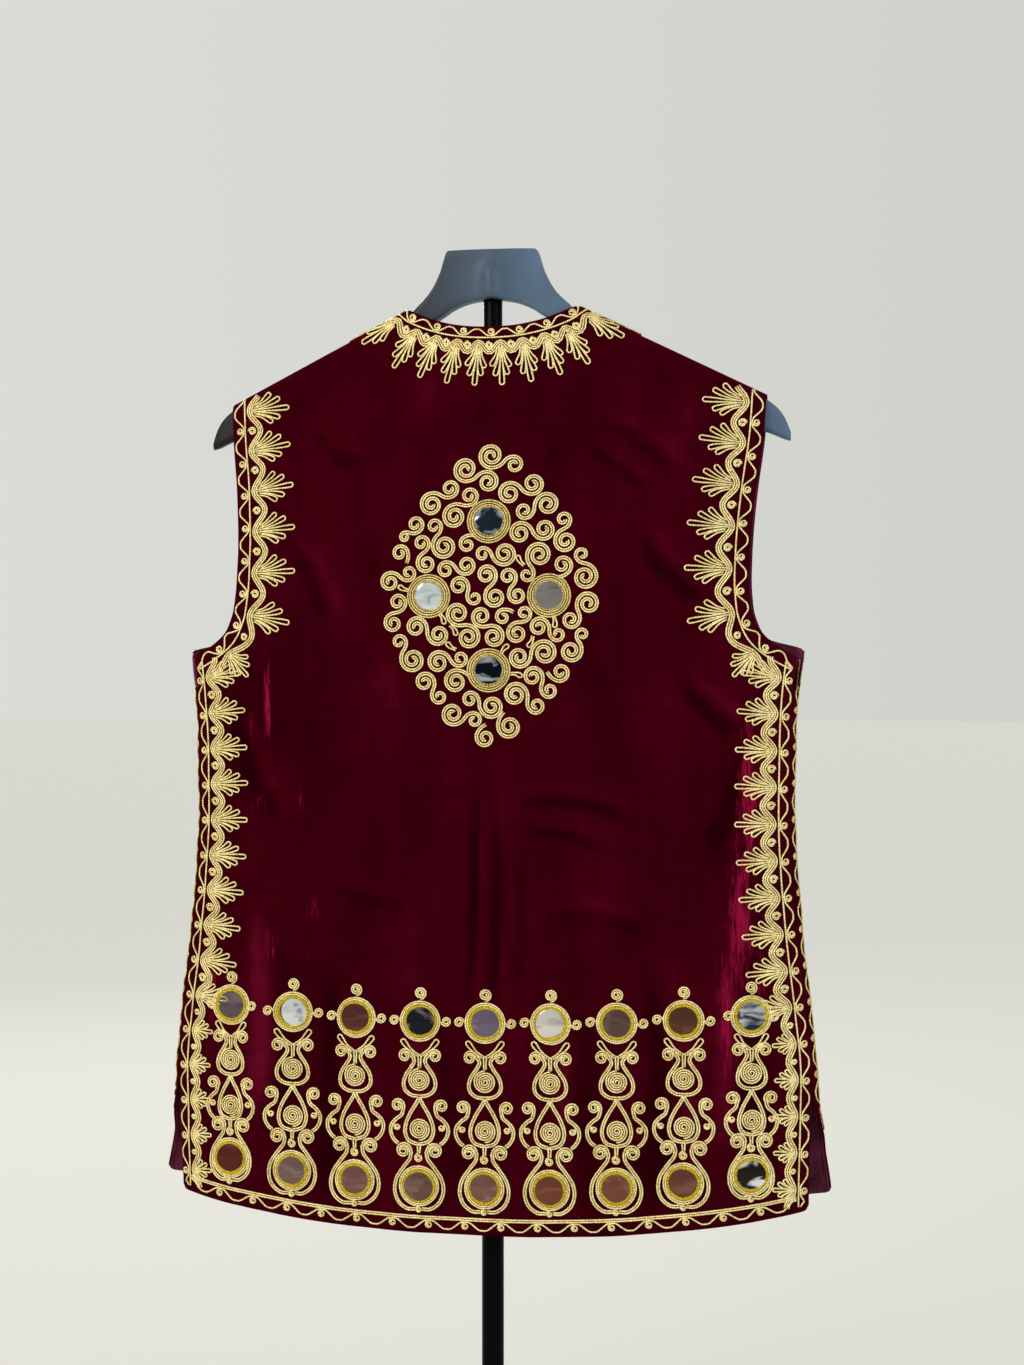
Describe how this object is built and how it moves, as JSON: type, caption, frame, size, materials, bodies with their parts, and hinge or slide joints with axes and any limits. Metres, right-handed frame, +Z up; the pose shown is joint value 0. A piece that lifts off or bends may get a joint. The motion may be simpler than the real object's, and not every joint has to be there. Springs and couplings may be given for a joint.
{
  "type": "embroidered velvet vest on a hanger stand",
  "caption": "Sleeveless velvet vest with couched gold cord and round mirrors, hanging open on a plain height-adjustable hanger stand.",
  "frame": {"origin": "centre of the base's underside, on the floor under the pole", "axes": "+Z up along the pole; the wearer's back, with the medallion and the mirror columns, faces -Y and the open fronts face +Y; +X is the wearer's right"},
  "size_m": [0.5342, 0.28, 1.0247],
  "materials": {
    "velvet": "deep burgundy silk velvet, short pile with a soft sheen",
    "satin_lining": "maroon satin, creased",
    "mirror_glass": "thin silvered glass",
    "gold_cord": "twisted metallic gold cord, couched",
    "yellow_thread": "bright yellow-gold metallic thread, satin stitched",
    "hanger_plastic": "satin black injection-moulded plastic",
    "painted_steel": "black powder coat, semi-gloss"
  },
  "bodies": {
    "stand": {"lower_tube": "painted_steel", "clamp_collar": "hanger_plastic", "base": "painted_steel"},
    "top": {"back_panel": "velvet", "front_left": "velvet", "front_right": "velvet", "lining_left": "satin_lining", "lining_right": "satin_lining", "mirror_medallion_top": "mirror_glass", "mirror_medallion_left": "mirror_glass", "mirror_medallion_right": "mirror_glass", "mirror_medallion_bottom": "mirror_glass", "mirror_column_1_top": "mirror_glass", "mirror_column_1_foot": "mirror_glass", "mirror_column_2_top": "mirror_glass", "mirror_column_2_foot": "mirror_glass", "mirror_column_3_top": "mirror_glass", "mirror_column_3_foot": "mirror_glass", "mirror_column_4_top": "mirror_glass", "mirror_column_4_foot": "mirror_glass", "mirror_column_5_top": "mirror_glass", "mirror_column_5_foot": "mirror_glass", "mirror_column_6_top": "mirror_glass", "mirror_column_6_foot": "mirror_glass", "mirror_column_7_top": "mirror_glass", "mirror_column_7_foot": "mirror_glass", "mirror_column_8_top": "mirror_glass", "mirror_column_8_foot": "mirror_glass", "mirror_column_9_top": "mirror_glass", "mirror_column_9_foot": "mirror_glass", "hanger_head": "hanger_plastic", "upper_tube": "painted_steel"}
  },
  "joints": [
    {"name": "height_slide", "type": "slide", "parent": "stand", "child": "top", "axis": [0, 0, 1], "range_m": [0, 0.35]}
  ]
}
